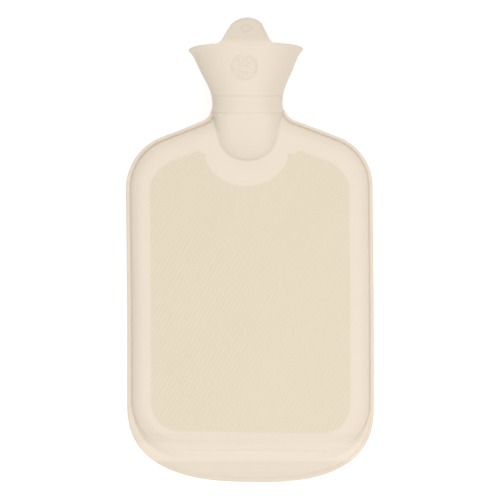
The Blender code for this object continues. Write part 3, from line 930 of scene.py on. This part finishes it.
threadForm = {
    "pitch": 4.0,
    "root": 10.2,
    "depth": 1.7,
    "clearance": 0.4,
    "flank": 0.85,
    "crest": 1.2,
    "steps": 60,
}
insertForm = {
    "length": 22.0,
    "radius": 15.0,
    "ringRadius": 17.0,
    "ringTop": -10.0,
    "ringBottom": -15.0,
}
washerForm = {
    "innerRadius": 12.6,
    "radius": 14.6,
    "from": 0.3,
    "thickness": 2.0,
}
stopperForm = {
    "flangeFrom": 2.6,
    "flangeTo": 6.6,
    "radius": 15.0,
    "shank": 18.0,
    "gripTop": 23.6,
    "gripHalfWidth": 12.5,
    "gripThickness": 8.0,
    "gripCorner": 6.0,
    "gripRound": 1.6,
}


def threadRod(root, widening, bottom, top):
    # a threaded rod about local Z, its crests wider by widening
    pitch, flank, crest = threadForm["pitch"], threadForm["flank"], threadForm["crest"] + widening
    valley = pitch - crest - 2 * flank
    places = []
    for turn in range(math.floor(bottom / pitch) - 2, math.ceil(top / pitch) + 2):
        start = turn * pitch + (crest + 2 * flank) / 2
        for rise, radius in ((0.0, root), (valley, root), (valley + flank, root + threadForm["depth"]),
                             (valley + flank + crest, root + threadForm["depth"])):
            places.append((radius, 0, start + rise))
    mesh = bmesh.new()
    verts = startChain(mesh, places)
    bmesh.ops.spin(mesh, geom=verts + mesh.edges[:], axis=(0, 0, 1), cent=(0, 0, 0), angle=2 * math.pi,
                   steps=threadForm["steps"], dvec=(0, 0, pitch / threadForm["steps"]), use_merge=False)
    bmesh.ops.remove_doubles(mesh, verts=mesh.verts[:], dist=0.001)
    for height, direction in ((bottom, -1), (top, 1)):
        everything = mesh.verts[:] + mesh.edges[:] + mesh.faces[:]
        bmesh.ops.bisect_plane(mesh, geom=everything, plane_co=(0, 0, height), plane_no=(0, 0, direction),
                               clear_outer=True)
    closeHoles(mesh)
    bmesh.ops.recalc_face_normals(mesh, faces=mesh.faces[:])
    return mesh


def standOnAxis(piece):
    mesh = bmesh.new()
    mesh.from_mesh(piece.data)
    ontoAxis(mesh)
    mesh.to_mesh(piece.data)
    mesh.free()


def makeInsert(material):
    bore = threadForm["root"] - threadForm["depth"]
    radius, ring, round_ = insertForm["radius"], insertForm["ringRadius"], 0.5
    profile = [(bore, -insertForm["length"]), (radius - round_, -insertForm["length"]),
               (radius, -insertForm["length"] + round_), (radius, insertForm["ringBottom"]),
               (ring, insertForm["ringBottom"]), (ring, insertForm["ringTop"]),
               (radius, insertForm["ringTop"]), (radius, -round_), (radius - round_, 0), (bore, 0)]
    insert = makeObject("threadedInsert", turnedPiece(profile, 96))
    tap = threadRod(threadForm["root"] + threadForm["clearance"], 0.6, -insertForm["length"] - 2, 2)
    combine(insert, makeObject("threadTap", tap), "DIFFERENCE")
    standOnAxis(insert)
    finishPiece(insert, material, "bottle", "neck_ferrule", 35)


def makeWasher(material):
    inner, radius = washerForm["innerRadius"], washerForm["radius"]
    low, high, soft = washerForm["from"], washerForm["from"] + washerForm["thickness"], 0.5
    profile = [(inner, low + soft), (inner + soft, low), (radius - soft, low), (radius, low + soft),
               (radius, high - soft), (radius - soft, high), (inner + soft, high), (inner, high - soft)]
    washer = makeObject("sealingWasher", turnedPiece(profile, 96))
    standOnAxis(washer)
    finishPiece(washer, material, "washer", "stopper_washer", 60)


def makeGrip(bottom, top):
    half, corner = stopperForm["gripHalfWidth"], stopperForm["gripCorner"]
    thickness = stopperForm["gripThickness"]
    right = arcPoints((half - corner, top - corner), corner, 0, math.pi / 2, 14)
    left = arcPoints((corner - half, top - corner), corner, math.pi / 2, math.pi, 14)
    mesh = bmesh.new()
    outline = [(half, bottom)] + right + left + [(-half, bottom)]
    chain = startChain(mesh, [(x, -thickness / 2, z) for x, z in outline], closed=True)
    face = mesh.faces.new(chain)
    made = bmesh.ops.extrude_face_region(mesh, geom=[face])["geom"]
    bmesh.ops.translate(mesh, verts=[item for item in made if isinstance(item, bmesh.types.BMVert)],
                        vec=(0, thickness, 0))
    bmesh.ops.recalc_face_normals(mesh, faces=mesh.faces[:])
    rim = [edge for edge in mesh.edges
           if edge.calc_face_angle(0) > 0.8 and max(vert.co.z for vert in edge.verts) > bottom]
    roundRim(mesh, rim, stopperForm["gripRound"], 5)
    return mesh


def makeStopper(material):
    low, high, radius, soft = stopperForm["flangeFrom"], stopperForm["flangeTo"], stopperForm["radius"], 0.8
    corner = [(radius - soft + soft * math.sin(turn), high - soft + soft * math.cos(turn))
              for turn in (math.pi / 2 * step / 5 for step in range(6))]
    profile = [(0, low), (radius - soft, low), (radius, low + soft)] + corner[::-1] + [(0, high)]
    stopper = makeObject("screwStopper", turnedPiece(profile, 96))
    middle = (low + high) / 2
    shank = threadRod(threadForm["root"], 0.0, low - stopperForm["shank"], middle)
    combine(stopper, makeObject("shank", shank), "UNION")
    combine(stopper, makeObject("grip", makeGrip(middle, stopperForm["gripTop"])), "UNION")
    standOnAxis(stopper)
    finishPiece(stopper, material, "stopper", "stopper", 35)


# ---- materials

rubberLook = {
    "smooth": (0.742, 0.648, 0.535),
    # the ribbed colour is painted shade: darker and yellower, standing in for the shade and bounced light in
    # the ribs' grooves
    "ribbed": (0.693, 0.605, 0.466),
    # the tab colour is painted shade: the same rubber painted darker where the tab is shaded
    "tab": (0.669, 0.582, 0.478),
    # y in metres, tone: painted light and shade, the ledge at the bottom painted paler, as if lit from the
    # foot, than the slope above it and the flap below
    "bottomLightAndShade": [(-0.1715, 0.950), (-0.1690, 1.04), (-0.1575, 1.040), (-0.1535, 0.985), (-0.1490, 0.975),
                    (-0.1465, 1.0)],
    # colour share left where the painted flank shade is full
    "flankShadeTone": 0.89,
    "roughness": 0.62,
    "mottleScale": 28.0,
    "mottle": 0.035,
    "grainScale": 1100.0,
    "grain": 0.03,
    "grainHeight": 0.00004,
    "tabFromY": 0.1648,          # its painted shade comes in between these, in metres
    "tabFullY": 0.1700,
}
partLook = {
    "insert": (0.72, 0.70, 0.64),
    "washer": (0.36, 0.13, 0.07),
    "stopper": (0.72, 0.62, 0.45),
}


def addNode(tree, kind, values=(), **settings):
    made = tree.nodes.new(kind)
    for name, value in settings.items():
        setattr(made, name, value)
    for socket, value in values:
        made.inputs[socket].default_value = value
    return made


def speckleGroup():
    # one soft and one fine noise round 1, to multiply a colour by, and the fine one as a height
    group = bpy.data.node_groups.new("speckle", "ShaderNodeTree")
    for name, start in (("Soft Scale", 28.0), ("Soft", 0.03), ("Fine Scale", 1100.0), ("Fine", 0.03)):
        socket = group.interface.new_socket(name, in_out="INPUT", socket_type="NodeSocketFloat")
        socket.default_value = start
    for name in ("Tone", "Height"):
        group.interface.new_socket(name, in_out="OUTPUT", socket_type="NodeSocketFloat")
    inside, outside = addNode(group, "NodeGroupInput"), addNode(group, "NodeGroupOutput")
    place = addNode(group, "ShaderNodeTexCoord")
    link = group.links.new
    noises = []
    for scale, detail in (("Soft Scale", 3.0), ("Fine Scale", 2.0)):
        noise = addNode(group, "ShaderNodeTexNoise", [("Detail", detail)])
        link(place.outputs["Object"], noise.inputs["Vector"])
        link(inside.outputs[scale], noise.inputs["Scale"])
        noises.append(noise)
    shares = []
    for noise, name in zip(noises, ("Soft", "Fine")):
        centred = addNode(group, "ShaderNodeMath", [(1, 0.5)], operation="SUBTRACT")
        share = addNode(group, "ShaderNodeMath", operation="MULTIPLY")
        link(noise.outputs["Fac"], centred.inputs[0])
        link(centred.outputs[0], share.inputs[0])
        link(inside.outputs[name], share.inputs[1])
        shares.append(share)
    both = addNode(group, "ShaderNodeMath", operation="ADD")
    tone = addNode(group, "ShaderNodeMath", [(1, 1.0)], operation="ADD")
    link(shares[0].outputs[0], both.inputs[0])
    link(shares[1].outputs[0], both.inputs[1])
    link(both.outputs[0], tone.inputs[0])
    link(tone.outputs[0], outside.inputs["Tone"])
    link(noises[1].outputs["Fac"], outside.inputs["Height"])
    return group


speckle = speckleGroup()


def speckled(name, colour, roughness, scales, grainHeight):
    # a material with its colour varied by the speckle group, returned with the node that takes another colour
    material = bpy.data.materials.new(name)
    material.use_nodes = True
    tree = material.node_tree
    shader = tree.nodes["Principled BSDF"]
    shader.inputs["Roughness"].default_value = roughness
    spots = addNode(tree, "ShaderNodeGroup", node_tree=speckle)
    for socket, value in scales.items():
        spots.inputs[socket].default_value = value
    tint = addNode(tree, "ShaderNodeVectorMath", [(0, colour)], operation="SCALE")
    tree.links.new(spots.outputs["Tone"], tint.inputs["Scale"])
    tree.links.new(tint.outputs[0], shader.inputs["Base Color"])
    bump = addNode(tree, "ShaderNodeBump", [("Strength", 1.0), ("Distance", grainHeight)])
    tree.links.new(spots.outputs["Height"], bump.inputs["Height"])
    tree.links.new(bump.outputs["Normal"], shader.inputs["Normal"])
    return material, tree, tint


def rubberMaterial():
    # natural rubber with painted shade: the ribbed ground is painted darker and yellower for the shade and
    # bounced light in its grooves, and the tab is painted darker for its shade
    scales = {"Soft Scale": rubberLook["mottleScale"], "Soft": rubberLook["mottle"],
              "Fine Scale": rubberLook["grainScale"], "Fine": rubberLook["grain"]}
    material, tree, tint = speckled("naturalRubber", rubberLook["smooth"], rubberLook["roughness"], scales,
                                    rubberLook["grainHeight"])
    # painted shade of the rib grooves, mixed in by the rib mask
    ribs = addNode(tree, "ShaderNodeAttribute", attribute_name="ribMask")
    ground = addNode(tree, "ShaderNodeMix", data_type="RGBA")
    ground.inputs["A"].default_value = (*rubberLook["smooth"], 1)
    ground.inputs["B"].default_value = (*rubberLook["ribbed"], 1)
    tree.links.new(ribs.outputs["Fac"], ground.inputs["Factor"])
    place = addNode(tree, "ShaderNodeTexCoord")
    split = addNode(tree, "ShaderNodeSeparateXYZ")
    tree.links.new(place.outputs["Object"], split.inputs[0])
    # painted shade on the tab, coming in with height along the funnel
    tabShadeShare = addNode(tree, "ShaderNodeMapRange", [("From Min", rubberLook["tabFromY"]),
                                                   ("From Max", rubberLook["tabFullY"])])
    tree.links.new(split.outputs["Y"], tabShadeShare.inputs["Value"])
    last = addNode(tree, "ShaderNodeMix", data_type="RGBA")
    last.inputs["B"].default_value = (*rubberLook["tab"], 1)
    tree.links.new(tabShadeShare.outputs[0], last.inputs["Factor"])
    tree.links.new(ground.outputs["Result"], last.inputs["A"])
    shadedColour = addNode(tree, "ShaderNodeVectorMath", operation="SCALE")
    tree.links.new(last.outputs["Result"], shadedColour.inputs[0])
    # painted light and shade along the bottom: the ledge painted paler, the slope and the flap darker
    tones = rubberLook["bottomLightAndShade"]
    (startY, first), (endY, _) = tones[0], tones[-1]
    along = addNode(tree, "ShaderNodeMapRange", [("From Min", startY), ("From Max", endY)])
    tree.links.new(split.outputs["Y"], along.inputs["Value"])
    ramp = addNode(tree, "ShaderNodeValToRGB")
    steps = ramp.color_ramp.elements
    steps[0].color = (first / 2, first / 2, first / 2, 1)
    for y, tone in tones[1:]:
        step = steps[-1] if y == endY else steps.new((y - startY) / (endY - startY))
        step.color = (tone / 2, tone / 2, tone / 2, 1)
    tree.links.new(along.outputs[0], ramp.inputs[0])
    # painted shade on the neck's flanks and the tongue's tip, times the painted light and shade along the
    # bottom
    flanks = addNode(tree, "ShaderNodeAttribute", attribute_name="flankShade")
    dimming = addNode(tree, "ShaderNodeMapRange", [("To Min", 2.0), ("To Max", 2 * rubberLook["flankShadeTone"])])
    tree.links.new(flanks.outputs["Fac"], dimming.inputs["Value"])
    tone = addNode(tree, "ShaderNodeMath", operation="MULTIPLY")
    tree.links.new(ramp.outputs["Color"], tone.inputs[0])
    tree.links.new(dimming.outputs[0], tone.inputs[1])
    tree.links.new(tone.outputs[0], shadedColour.inputs["Scale"])
    tree.links.new(shadedColour.outputs[0], tint.inputs[0])
    return material


plasticScales = {"Soft Scale": 60.0, "Soft": 0.02, "Fine Scale": 1500.0, "Fine": 0.01}
washerScales = {"Soft Scale": 90.0, "Soft": 0.08, "Fine Scale": 1200.0, "Fine": 0.05}
rubber = rubberMaterial()
insertPlastic = speckled("insertPlastic", partLook["insert"], 0.45, plasticScales, 0.00001)[0]
washerRubber = speckled("washerRubber", partLook["washer"], 0.6, washerScales, 0.00003)[0]
stopperPlastic = speckled("stopperPlastic", partLook["stopper"], 0.4, plasticScales, 0.00001)[0]

makeBottle(rubber)
makeInsert(insertPlastic)
makeWasher(washerRubber)
makeStopper(stopperPlastic)


# ---- table, light and camera

studio = {
    "tableHalf": 4.0,
    "tableGlow": 0.68,
    "horizon": 0.35,             # the room's light there and overhead
    "overhead": 1.09,
    # azimuth and elevation in degrees, strength
    "lamps": {"fromFoot": (270, 30, 0.48), "fromTop": (90, 36, 0.64)},
    "softness": math.radians(40),
    "boxFrom": (0.45, -0.5, 1.0),
    "boxSize": 0.8,
    "boxPower": 2.2,
    "lens": 960.0,               # far off, as the picture shows no perspective
    "frameWidth": 0.40225,       # what the picture takes in, at the height of the seam
    "focusZ": 0.016,
    "look": (0.0003, -0.0004),
}


def makeTable():
    mesh = bmesh.new()
    bmesh.ops.create_grid(mesh, x_segments=1, y_segments=1, size=studio["tableHalf"])
    bmesh.ops.translate(mesh, verts=mesh.verts[:], vec=(0, 0, -0.0004))
    table = makeObject("table", mesh)
    material = bpy.data.materials.new("whiteTable")
    material.use_nodes = True
    shader = material.node_tree.nodes["Principled BSDF"]
    shader.inputs["Base Color"].default_value = (0.4, 0.4, 0.4, 1)
    shader.inputs["Roughness"].default_value = 0.9
    shader.inputs["Emission Color"].default_value = (1, 1, 1, 1)
    shader.inputs["Emission Strength"].default_value = studio["tableGlow"]
    table.data.materials.append(material)


def makeLights():
    world = bpy.data.worlds.new("softRoom")
    world.use_nodes = True
    tree = world.node_tree
    place = addNode(tree, "ShaderNodeTexCoord")
    split = addNode(tree, "ShaderNodeSeparateXYZ")
    rise = addNode(tree, "ShaderNodeMapRange", [("To Min", studio["horizon"]), ("To Max", studio["overhead"])])
    tree.links.new(place.outputs["Generated"], split.inputs[0])
    tree.links.new(split.outputs["Z"], rise.inputs["Value"])
    tree.links.new(rise.outputs[0], tree.nodes["Background"].inputs["Strength"])
    tree.nodes["Background"].inputs["Color"].default_value = (1, 1, 1, 1)
    bpy.context.scene.world = world
    for name, (azimuth, elevation, strength) in studio["lamps"].items():
        azimuth, elevation = math.radians(azimuth), math.radians(elevation)
        away = Vector((math.cos(elevation) * math.cos(azimuth), math.cos(elevation) * math.sin(azimuth),
                       math.sin(elevation)))
        light = bpy.data.lights.new(name, "SUN")
        light.energy = strength
        light.angle = studio["softness"]
        lamp = bpy.data.objects.new(name, light)
        lamp.location = away * 2
        lamp.rotation_euler = away.to_track_quat("Z", "Y").to_euler()
        bpy.context.collection.objects.link(lamp)
    box = bpy.data.lights.new("softBox", "AREA")
    box.size = studio["boxSize"]
    box.energy = studio["boxPower"]
    lamp = bpy.data.objects.new("softBox", box)
    lamp.location = studio["boxFrom"]
    lamp.rotation_euler = Vector(studio["boxFrom"]).to_track_quat("Z", "Y").to_euler()
    bpy.context.collection.objects.link(lamp)


def makeCamera():
    camera = bpy.data.cameras.new("camera")
    camera.sensor_width = 36.0
    camera.lens = studio["lens"]
    camera.clip_end = 20
    away = studio["frameWidth"] * camera.lens / camera.sensor_width
    holder = bpy.data.objects.new("camera", camera)
    holder.location = (*studio["look"], studio["focusZ"] + away)
    bpy.context.collection.objects.link(holder)
    bpy.context.scene.camera = holder


makeTable()
makeLights()
makeCamera()
bpy.context.scene.view_settings.view_transform = "Standard"
print("studio ready")
